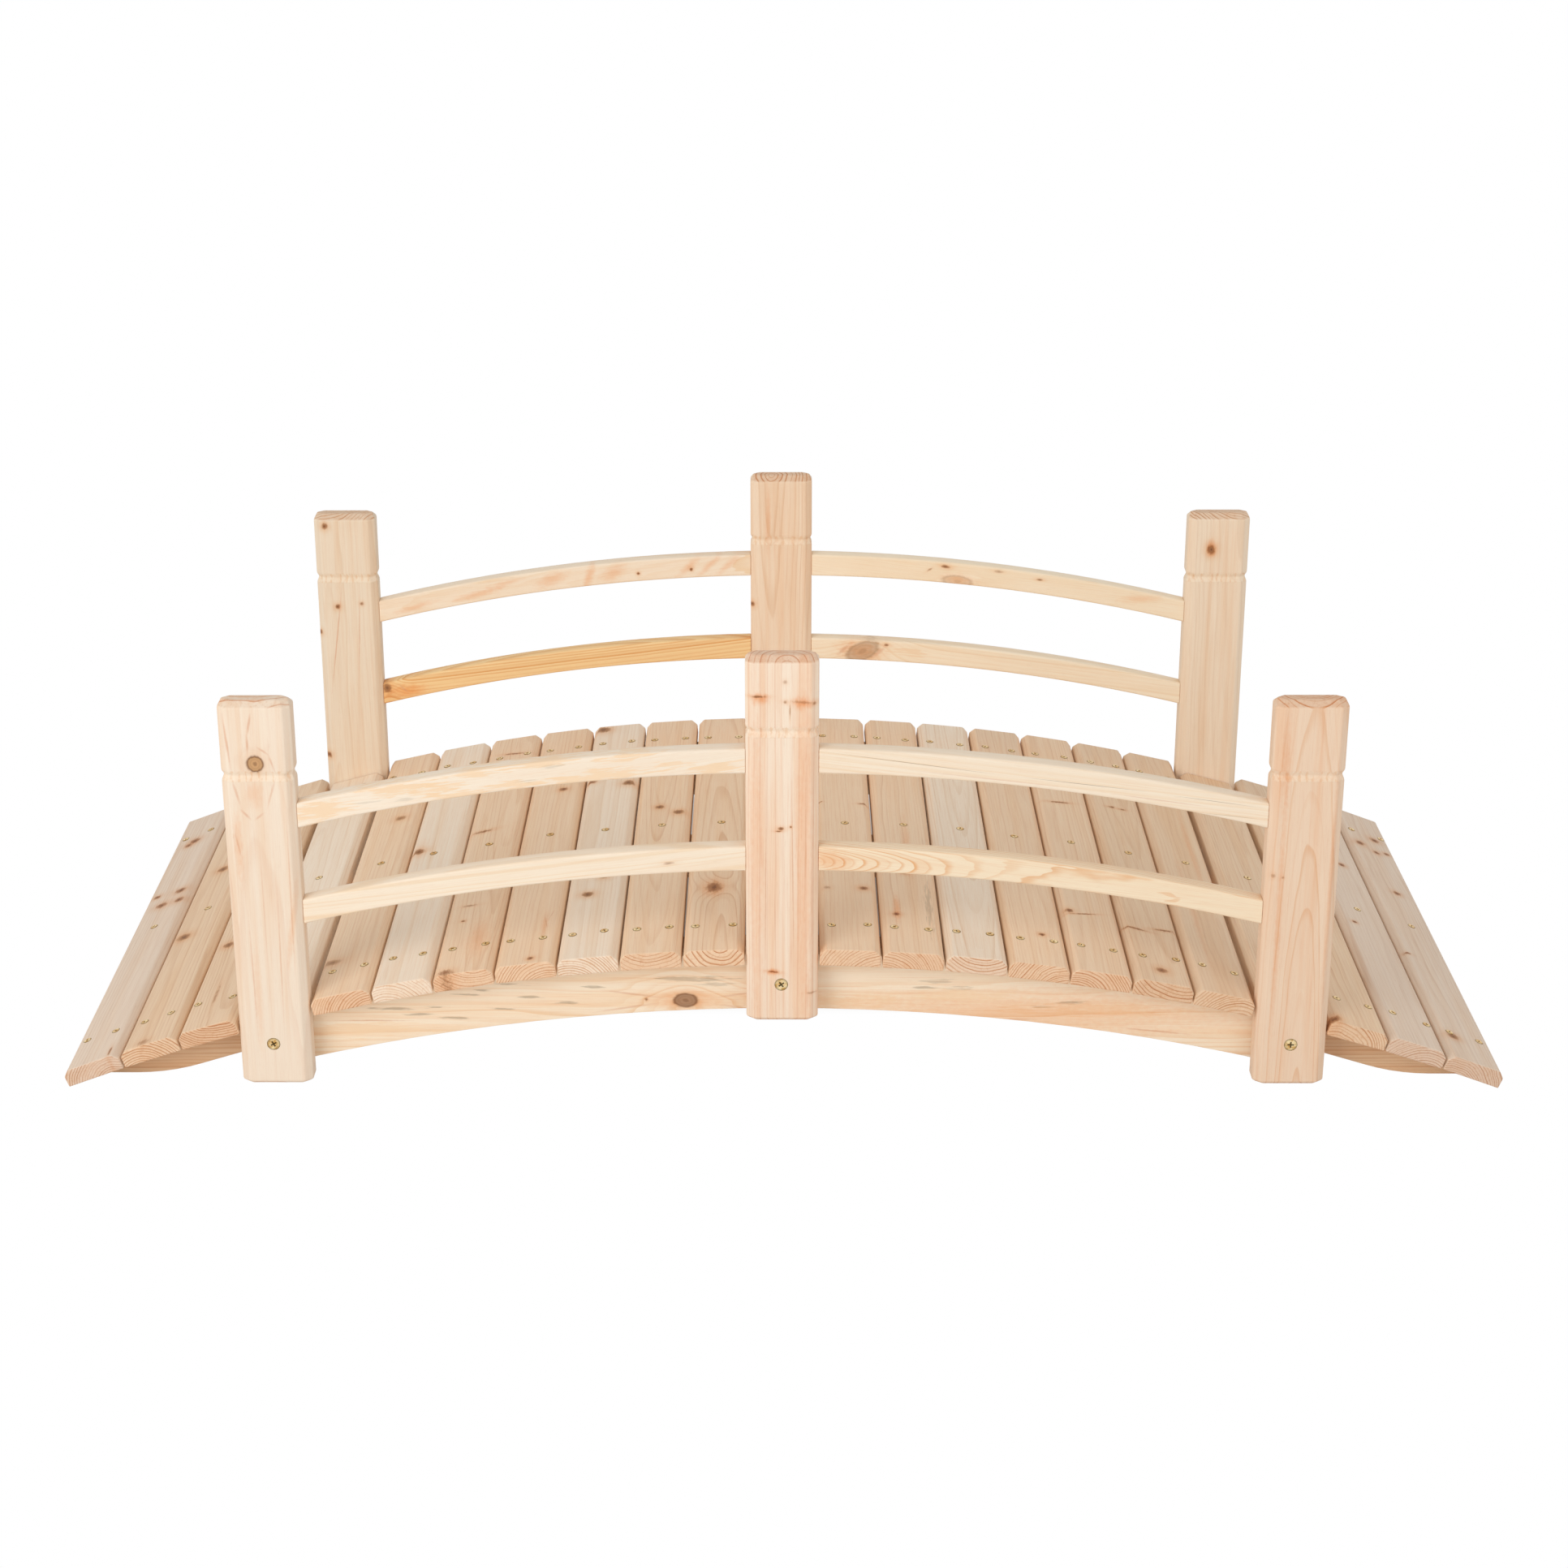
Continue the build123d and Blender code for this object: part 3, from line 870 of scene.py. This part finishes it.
RAIL_WOOD: Look = dict(early=paint(250, 232, 208), late=paint(240, 204, 158), cloud=0.12,
                       streak=0.22, sharp=0.35)
RAIL_LOOKS: dict[str, Look] = {
    "front_left_upper_rail": dict(
        RAIL_WOOD, ring=9.0, pith_through=-260.0, drift=1.4, contrast=0.18,
        early=paint(249, 233, 212), seed=2.2, marks=(
            *several(flame, (-206, 3, 13, 34), (-128, 17, 7, 44), (-68, 1.5, 7, 36), (-87, 11, 6, 30),
                     (-40, 23, 5, 36), (-6, 5, 6, 40), (29, 25, 4.5, 40), (88, 4, 7, 66),
                     (110, 21, 5, 34), (205, -3, 7, 34), (160, 6, 4, 24, 0, 0.8)),
            *several(stain, (-120, 4, 2.6, 14, 0, 0.4), (10, 8, 2.6, 14, 0, 0.4),
                     (38, 20, 2.4, 16, 0, 0.4), (-160, 6, 2.4, 14, 0, 0.4)))),
    "front_left_lower_rail": dict(
        RAIL_WOOD, ring=8.5, pith_across=150.0, pith_through=30.0, drift=0.8, contrast=0.70,
        sharp=0.6, seed=5.0, marks=(pin(154, 6, 2.2, 7.0, strength=0.4),)),
    "front_right_upper_rail": dict(
        RAIL_WOOD, ring=5.5, pith_across=120.0, pith_through=-40.0, drift=1.0, contrast=0.36,
        seed=8.1, marks=(
            *several(crack, (-134, 10.8, 0.5, 104, -0.6), (40, 10.5, 0.5, 80, 0.3),
                     (176, 9, 0.5, 58, -1.0, 0.8), (196, -5, 0.5, 38, 0.5, 0.7)),
            *several(vein, (120, 3, 1.0, 70, -1.0, 0.6), (-60, 4, 1.0, 120, 0.6, 0.5)))),
    "front_right_lower_rail": dict(
        RAIL_WOOD, early=paint(250, 229, 198), late=paint(234, 176, 120), ring=3.2,
        pith_through=-260.0, drift=1.1, drift_length=60.0, drift_width=16.0, contrast=0.90,
        sharp=0.55, seed=11.5, marks=(
            knot(-320, -8, 14.5, 112.0, lean=4.0, strength=0.0, lift=4.1, reach=1.5),
            blush(-222, 1, 16, 34, strength=0.7))),
    "rear_left_upper_rail": dict(
        RAIL_WOOD, ring=3.4, pith_through=-30.0, lean_through=0.035, drift=2.0, drift_length=100.0,
        drift_width=20.0, contrast=0.55, sharp=0.2, seed=14.9, marks=(
            pin(94, 8, 2.4), pin(160, 5, 2.8),
            *several(blush, (-190, 0, 6, 40, 10, 0.6), (-108, 7, 7, 46, 8, 0.6),
                     (-74, 16, 6, 34, 10, 0.5), (-14, 14, 12, 30, 16, 0.6), (33, 12, 8, 26, 66, 0.7),
                     (64, 13, 13, 26, 22, 0.6), (158, 9, 7, 28, 36, 0.6), (183, 7, 6, 28, 36, 0.6),
                     (207, 5, 7, 26, 34, 0.6)))),
    "rear_left_lower_rail": dict(
        RAIL_WOOD, early=paint(251, 215, 159), late=paint(228, 162, 94), ring=4.2, pith_across=90.0,
        pith_through=20.0, drift=0.8, contrast=0.95, sharp=0.3, seed=17.3, marks=(
            dead(-228, 7, 8.0, 7.0), blush(-202, 0, 14, 36), knot(-228, 7, 8.0, lift=1.6, strength=0.0),
            vein(-207, 3, 2.0, 12, lean=-50, strength=0.6))),
    "rear_right_upper_rail": dict(
        RAIL_WOOD, early=paint(255, 238, 211), late=paint(240, 202, 150), ring=6.0,
        pith_through=-200.0, drift=2.0, drift_length=120.0, drift_width=18.0, contrast=0.20,
        cloud=0.05, seed=20.6, marks=(
            blush(-52, 5, 11, 30, strength=0.7), knot(-52, 3, 7.5, 19.0, strength=0.28, lift=0.3),
            pin(-69, 20, 2.8, 7.0, strength=0.9), scar(-88, 14, 1.4, 5, lean=40, strength=0.6),
            pin(-3, 22, 2.4, 8.0, strength=0.4), pin(49, 18, 1.8, 5.0, strength=0.7),
            blush(177, 9, 8, 40, lean=10, strength=0.45))),
    "rear_right_lower_rail": dict(
        RAIL_WOOD, early=paint(255, 238, 211), ring=5.0, pith_across=110.0, pith_through=-60.0,
        drift=1.6, contrast=0.40, seed=23.8, marks=(
            blush(-172, 5, 20, 42, strength=0.9),
            tight(-170, 5, 12.0, 22.0, lean=30, strength=0.45, lift=1.6),
            vein(-193, 5, 4.0, 17, lean=50, strength=0.6), vein(-149, 6, 4.0, 17, lean=50, strength=0.5),
            pin(-141, 17, 2.4, 4.0, strength=0.8), flame(-112, 12, 5, 30, strength=0.8))),
}

ARCH_WOOD: Look = dict(early=paint(252, 233, 207), late=paint(236, 186, 130), ring=6.5,
                       pith_across=80.0, pith_through=-90.0, drift=4.2, drift_length=300.0,
                       drift_width=26.0, contrast=0.50, sharp=0.4, cloud=0.4,
                       warm=paint(248, 214, 174), streak=0.24)
STRINGER_WOOD: Look = dict(early=paint(237, 200, 161), late=paint(208, 148, 102), ring=4.0,
                           pith_across=50.0, pith_through=30.0, drift=2.4, contrast=0.6)
ARCH_LOOKS: dict[str, Look] = {
    "front_arch_board": dict(ARCH_WOOD, seed=50.0, marks=(
        tight(-103, 14.5, 8.4, 13.0, lift=3.0, reach=3.6), blush(-103, 14, 20, 60, strength=0.5),
        pin(-145, 15.5, 2.4, strength=0.8),
        *several(stain, (-385, -2, 2.2, 20), (-372, 6, 1.6, 15), (-341, 21, 2.0, 19),
                 (-289, 34, 2.2, 19), (-229, 12, 1.9, 15), (-351, -7, 1.9, 15), (-300, 4, 1.6, 14),
                 (-322, 26, 1.6, 14), (-270, 18, 1.6, 14), (-420, 4, 2.0, 24), (-204, 30, 1.9, 14),
                 (-96, 40, 3.5, 41, 0, 0.8), (-70, 34, 2.5, 24, 0, 0.6), (166, 37, 2.6, 20, 0, 0.6),
                 (192, 29, 2.5, 17, 0, 0.6), (278, 7, 2.0, 15), (308, 12, 2.0, 19), (150, 30, 1.9, 15)),
        *several(flame, (-440, -20, 9, 70, 0, 0.8), (60, 14, 9, 80, 0, 0.8), (330, 4, 8, 90, 0, 0.8)),
        blush(250, -2, 44, 340, strength=0.62), flame(200, 20, 7, 80, strength=0.8),
        *several(vein, (-440, -10, 1.2, 60, 0, 0.8), (-160, 22, 2.0, 44, -8, 0.6),
                 (-164, 6, 2.0, 46, 9, 0.6), (-44, 22, 2.0, 40, 9, 0.5), (-46, 6, 2.0, 40, -9, 0.5),
                 (400, -22, 1.4, 50, -6, 0.8), (250, -8, 1.2, 40, 0, 0.7)))),
    "rear_arch_board": dict(ARCH_WOOD, seed=51.0, marks=(
        tight(210, 10.0, 8.0, lift=2.0), blush(210, 10, 18, 40), pin(-310, 4, 3),
        *several(stain, (-160, 20, 3, 20), (-60, 28, 3, 24), (330, 2, 3, 18)),
        *several(flame, (330, -4, 7, 50, 0, 0.6), (-400, -16, 7, 50, 0, 0.6)))),
    "front_stringer": dict(STRINGER_WOOD, seed=60.0),
    "centre_stringer": dict(STRINGER_WOOD, seed=61.0),
    "rear_stringer": dict(STRINGER_WOOD, seed=62.0),
}


@dataclass
class BoardRow:
    """Boards of one sub-assembly, each with a timber of its own."""

    part: str
    looks: dict[str, Look]
    edge: EasedEdge

    def lie(self, node: str) -> Lie:
        """How a board lies, which each sub-assembly says for itself."""
        raise NotImplementedError

    def timber(self, node: str, **more: object) -> Timber:
        """A board's timber, with what its sub-assembly adds."""
        return Timber(f"{node}_softwood", lie=self.lie(node), **self.looks[node], **more)

    def dress(self) -> None:
        """Give each board its timber and its eased edges."""
        for node in self.looks:
            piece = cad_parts[node]
            self.timber(node).dress(piece)
            self.edge.ease(piece)
            log.info("%s: %s dressed", self.part, node)


@dataclass
class PostRow(BoardRow):
    """The six plank posts with bevelled heads and a sawn groove."""

    part: str = "posts"
    looks: dict[str, Look] = field(default_factory=lambda: POST_LOOKS)
    edge: EasedEdge = EasedEdge(0.0013)
    groove_drop: float = 81.0
    groove_half: float = 5.8

    def lie(self, node: str) -> Lie:
        """Posts stand with their fibres upright."""
        return lie_of(node, Vector((0.0, 0.0, 1.0)), Vector((1.0, 0.0, 0.0)))

    def timber(self, node: str, **more: object) -> Timber:
        """A post's timber, with its groove set below its head."""
        low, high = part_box(node)
        half = (high[2] - low[2]) / MM / 2.0
        return super().timber(node, band=(half - self.groove_drop, self.groove_half), **more)


@dataclass
class RailRow(BoardRow):
    """The eight hand rails, sawn to a curve from straight boards."""

    part: str = "rails"
    looks: dict[str, Look] = field(default_factory=lambda: RAIL_LOOKS)
    edge: EasedEdge = EasedEdge(0.0010)
    chord: float = math.radians(7.4)

    def lie(self, node: str) -> Lie:
        """Rails have their fibres along the chord of their curve."""
        turn = self.chord if "_left_" in node else -self.chord
        c, s = math.cos(turn), math.sin(turn)
        return lie_of(node, Vector((c, 0.0, s)), Vector((-s, 0.0, c)))


@dataclass
class ArchFrame(BoardRow):
    """The curved boards under the deck: two deep arch boards and three stringers."""

    part: str = "arch"
    looks: dict[str, Look] = field(default_factory=lambda: ARCH_LOOKS)
    edge: EasedEdge = EasedEdge(0.0008)

    def lie(self, node: str) -> Lie:
        """The arch's boards have their fibres along the bridge."""
        return lie_of(node, Vector((1.0, 0.0, 0.0)), Vector((0.0, 0.0, 1.0)))


@dataclass(frozen=True)
class ScrewPlating:
    """Yellow zinc plating with a faint rainbow bloom, and painted shade where the head is sunk or
    hollow.
    """

    name: str
    pale: Colour = paint(242, 218, 170)
    gold: Colour = paint(206, 160, 92)
    green: Colour = paint(190, 160, 106)
    painted_shade_colour: Colour = paint(58, 48, 30)
    # Painted shade: the dark brown laid over the recesses, the rims and the rings at the foot.
    bloom_rate: float = 260.0
    gold_span: Span = (0.35, 0.65)
    green_span: Span = (0.5, 0.7)
    green_share: float = 0.4
    painted_shade_share: float = 0.9
    rough: float = 0.18
    rough_bloom: float = 0.3
    rough_recess: float = 0.3

    def dress(self, piece: bpy.types.Object) -> None:
        """Plate a piece, and paint shade into its driver recesses, onto its rims and round its feet."""
        skin, bench = new_finish(self.name)
        place = bench.node("TexCoord", output="Object")
        cloud = bench.noise(bench.node("VectorMath", {"operation": "SCALE"},
                                       {0: place, "Scale": self.bloom_rate}), output="Color")
        first, second, third = bench.split(cloud)
        painted_shade = bench.node("Attribute", {"attribute_name": PAINTED_SHADE}, None, "Fac")
        colour = bench.mix(first.ease(*self.gold_span), self.pale, self.gold)
        colour = bench.mix(second.ease(*self.green_span) * self.green_share, colour, self.green)
        # Painted shade from the vertex layer, darkest in the recesses and round the foot.
        colour = bench.mix(painted_shade * self.painted_shade_share, colour, self.painted_shade_colour)
        rough = third * self.rough_bloom + self.rough + painted_shade * self.rough_recess
        metal = bench.node("BsdfPrincipled", None,
                           {"Base Color": colour, "Roughness": rough, "Metallic": 1.0})
        bench.node("OutputMaterial", None, {"Surface": metal})
        piece.data.materials.append(skin)


@dataclass
class ScrewHead:
    """A cross-recessed screw head, as one part of a larger mesh."""

    radius: float
    height: float
    dome: float
    recess_reach: float
    recess_half: float
    recess_depth: float
    # The foot spreads and sinks a little, to hold a ring of painted shadow round the head.
    foot_flare: float = 1.22
    foot_sink: float = 0.00003
    # Share of painted shade on the rim of the head.
    rim_painted_shade: float = 0.30
    recess_slope: float = 0.25

    def add(self, mesh: bmesh.types.BMesh, seat: Matrix) -> None:
        """Model one head.

        Args:
            mesh: The mesh that takes the head.
            seat: Place and turn of the head's foot.
        """
        lines = (-1.0, -self.recess_reach, -self.recess_half,
                 self.recess_half, self.recess_reach, 1.0)
        cells = len(lines) - 1
        made = bmesh.ops.create_grid(mesh, x_segments=cells, y_segments=cells, size=cells / 2.0)
        verts = made["verts"]
        faces = list({f for v in verts for f in v.link_faces})
        slot = [f for f in faces if sorted(round(abs(c)) for c in f.calc_center_median()[:2])
                in ([0, 0], [0, 1])]
        for vert in verts:
            column, row = (round(c + cells / 2.0) for c in vert.co[:2])
            flat = Vector((lines[column], lines[row], 0.0))
            if column in (0, cells) or row in (0, cells):
                flat.normalize()
            vert.co = flat * self.radius
            vert.co.z = self.height + self.dome * (1.0 - min(1.0, flat.length) ** 2)
        rim = [e for f in faces for e in f.edges if e.is_boundary]
        skirt = bmesh.ops.extrude_edge_only(mesh, edges=list(set(rim)))
        foot = [v for v in skirt["geom"] if isinstance(v, bmesh.types.BMVert)]
        for vert in foot:
            vert.co.xy = vert.co.xy * self.foot_flare
            vert.co.z = -self.foot_sink
        bmesh.ops.contextual_create(mesh, geom=foot)
        # Painted shade per vertex: full in the ring of painted shadow at the foot, part on the rim.
        mark = mesh.verts.layers.float[PAINTED_SHADE]
        for vert in foot:
            vert[mark] = 1.0
        for vert in {v for e in rim for v in e.verts}:
            vert[mark] = self.rim_painted_shade
        slope = self.recess_half * self.radius * self.recess_slope
        sunk = bmesh.ops.inset_region(mesh, faces=slot, thickness=slope, depth=-self.recess_depth,
                                      use_even_offset=True)
        # The driver recess carries full painted shade.
        for vert in {v for f in slot for v in f.verts}:
            vert[mark] = 1.0
        fresh = set(verts) | set(foot) | {v for f in slot + sunk["faces"] for v in f.verts}
        bmesh.ops.transform(mesh, matrix=seat, verts=list(fresh))


@dataclass
class Screws:
    """The screws: five in each slat and one through the foot of each post."""

    deck: Deck
    row: float = 0.269
    pair: float = 0.0178
    middle: float = 0.003
    scatter: float = 0.0028
    post_scatter: float = 0.0025
    slat_head: ScrewHead = field(default_factory=lambda: ScrewHead(
        0.0039, 0.0005, 0.0001, 0.56, 0.15, 0.00050))
    post_head: ScrewHead = field(default_factory=lambda: ScrewHead(
        0.0060, 0.0002, 0.0002, 0.60, 0.16, 0.0002))
    post_rise_corner: float = 0.0485
    post_rise_middle: float = 0.0435
    seed: int = 17

    def finish(self, name: str, mesh: bmesh.types.BMesh) -> bpy.types.Object:
        """Make a piece of a mesh and plate it.

        Args:
            name: Name of the piece.
            mesh: Its mesh.

        Returns:
            The piece, riding on the bridge.
        """
        bmesh.ops.recalc_face_normals(mesh, faces=mesh.faces)
        piece = new_piece(name, mesh)
        ScrewPlating(f"{name}_zinc").dress(piece)
        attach(piece, ROOT)
        return piece

    def build_deck(self) -> bpy.types.Object:
        """Screws of the deck: a pair over each outer stringer and one over the middle one."""
        draw = random.Random(self.seed)
        mesh = bmesh.new()
        # A layer for the painted shade of the heads.
        mesh.verts.layers.float.new(PAINTED_SHADE)
        for number in range(1, self.deck.slats + 1):
            spots = [(across, side * self.row) for side in (-1, 1) for across in (-self.pair, self.pair)]
            for across, along in [*spots, (0.0, self.middle)]:
                across += draw.uniform(-self.scatter, self.scatter)
                along += draw.uniform(-self.scatter, self.scatter)
                seat = self.deck.top(number, across, along)
                self.slat_head.add(mesh, seat @ Matrix.Rotation(draw.uniform(0.0, math.pi), 4, "Z"))
        return self.finish("deck_screws", mesh)

    def build_posts(self) -> bpy.types.Object:
        """Screws of the posts, one on the outer face of each."""
        draw = random.Random(self.seed + 1)
        mesh = bmesh.new()
        # A layer for the painted shade of the heads.
        mesh.verts.layers.float.new(PAINTED_SHADE)
        for side in ("front", "rear"):
            for place, rise in (("left", self.post_rise_corner), ("middle", self.post_rise_middle),
                                ("right", self.post_rise_corner)):
                low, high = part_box(f"{side}_{place}_post")
                face = low[1] if side == "front" else high[1]
                turn = math.pi / 2.0 if side == "front" else -math.pi / 2.0
                shift = draw.uniform(-self.post_scatter, self.post_scatter)
                spot = Vector(((low[0] + high[0]) / 2.0 + shift, face, low[2] + rise))
                seat = (Matrix.Translation(spot) @ Matrix.Rotation(turn, 4, "X")
                        @ Matrix.Rotation(draw.uniform(0.0, math.pi), 4, "Z"))
                self.post_head.add(mesh, seat)
        return self.finish("post_screws", mesh)

    def build(self) -> None:
        """Build both sets of screws."""
        for piece in (self.build_deck(), self.build_posts()):
            log.info("screws: %s, %d faces", piece.name, len(piece.data.polygons))


@dataclass
class Studio:
    """Pale floor, soft light and the camera."""

    daylight: float = 0.58
    lamp_spot: tuple[float, float, float] = (2.4, -3.0, 1.9)
    lamp_size: float = 2.4
    left_watts: float = 60.0
    right_watts: float = 22.0
    aim_height: float = 0.2
    floor_reach: float = 30.0
    floor_drop: float = 0.0006
    shade_middle: float = 0.21
    shade_half: Span = (0.55, 0.24)
    shade_fade: float = 0.12
    shade_glow: float = 0.10
    floor_tint: Colour = (0.86, 0.86, 0.86, 1.0)
    focal: float = 3431.5
    sensor: float = 36.0
    camera_spot: tuple[float, float, float] = (-0.00499, -2.96694, 1.47858)
    camera_down: float = 19.641
    camera_turn: float = -0.56
    camera_roll: float = -0.218
    picture_side: float = 40.0
    picture_drop: float = -200.0
    white: Colour = (1.0, 1.0, 1.0, 1.0)

    def seen(self, bench: Bench) -> Wire:
        """One for rays from the camera, and for mirror and glass rays, else zero."""
        camera = bench.node("LightPath", output="Is Camera Ray")
        return camera.most(camera.other("Is Glossy Ray")).most(camera.other("Is Transmission Ray"))

    def build_world(self) -> None:
        """Even daylight on the object, with a white backdrop behind it."""
        world = bpy.data.worlds.new("studio")
        world.use_nodes = True
        bpy.context.scene.world = world
        bench = Bench(world.node_tree)
        light = bench.node("Background", None, {"Color": self.white, "Strength": self.daylight})
        backdrop = bench.node("Background", None, {"Color": self.white, "Strength": 1.0})
        both = bench.node("MixShader", None, {0: self.seen(bench), 1: light, 2: backdrop})
        bench.node("OutputWorld", None, {"Surface": both})

    def build_floor(self) -> None:
        """A wide pale floor that looks white, and shows its shade under and behind the deck."""
        mesh = bmesh.new()
        bmesh.ops.create_grid(mesh, x_segments=1, y_segments=1, size=self.floor_reach)
        bmesh.ops.translate(mesh, verts=mesh.verts, vec=(0.0, 0.0, -self.floor_drop))
        floor = new_piece("floor", mesh)
        skin, bench = new_finish("pale_floor")
        board = bench.node("BsdfDiffuse", None, {"Color": self.floor_tint})
        glow = bench.node("Emission", None, {"Color": self.white, "Strength": 1.0})
        x, y, _ = bench.split(bench.node("TexCoord", output="Object"))
        side = (abs(x) - self.shade_half[0]).most(0.0)
        deep = (abs(y - self.shade_middle) - self.shade_half[1]).most(0.0)
        clear = (side * side + deep * deep).root().ease(0.0, self.shade_fade)
        share = self.seen(bench) * (clear * (1.0 - self.shade_glow) + self.shade_glow)
        both = bench.node("MixShader", None, {0: share, 1: board, 2: glow})
        bench.node("OutputMaterial", None, {"Surface": both})
        floor.data.materials.append(skin)

    def lamp(self, name: str, side: float, watts: float) -> None:
        """Hang one soft box aimed at the bridge.

        Args:
            name: Name of the lamp.
            side: Minus one for the left, one for the right.
            watts: Its power.
        """
        data = bpy.data.lights.new(name, "AREA")
        data.energy, data.size = watts, self.lamp_size
        lamp = new_object(name, data)
        lamp.location = (side * self.lamp_spot[0], *self.lamp_spot[1:])
        aim = Vector((0.0, 0.0, self.aim_height)) - lamp.location
        lamp.rotation_euler = aim.to_track_quat("-Z", "Y").to_euler()

    def build_camera(self) -> None:
        """The camera at the photograph's place."""
        data = bpy.data.cameras.new("camera")
        data.sensor_width = self.sensor
        data.lens = self.focal / PICTURE_SIDE * data.sensor_width
        data.shift_x = self.picture_side / PICTURE_SIDE
        data.shift_y = self.picture_drop / PICTURE_SIDE
        camera = new_object("camera", data)
        camera.location = self.camera_spot
        aim = Euler((math.radians(90.0 - self.camera_down), 0.0, math.radians(-self.camera_turn)))
        roll = Matrix.Rotation(math.radians(self.camera_roll), 3, "Z")
        camera.rotation_euler = (aim.to_matrix() @ roll).to_euler()
        bpy.context.scene.camera = camera

    def build(self) -> None:
        """Set up the whole studio."""
        bpy.context.scene.view_settings.view_transform = "Standard"
        self.build_world()
        self.build_floor()
        self.lamp("left_soft_box", -1.0, self.left_watts)
        self.lamp("right_soft_box", 1.0, self.right_watts)
        self.build_camera()
        log.info("studio: floor, light and camera set")


def main() -> None:
    """Build and dress the bridge piece by piece, then the studio round it."""
    logging.basicConfig(level=logging.INFO, format="%(name)s %(message)s")
    deck = Deck()
    deck.dress()
    PostRow().dress()
    RailRow().dress()
    ArchFrame().dress()
    Screws(deck).build()
    Studio().build()


if __name__ == "__main__":
    main()
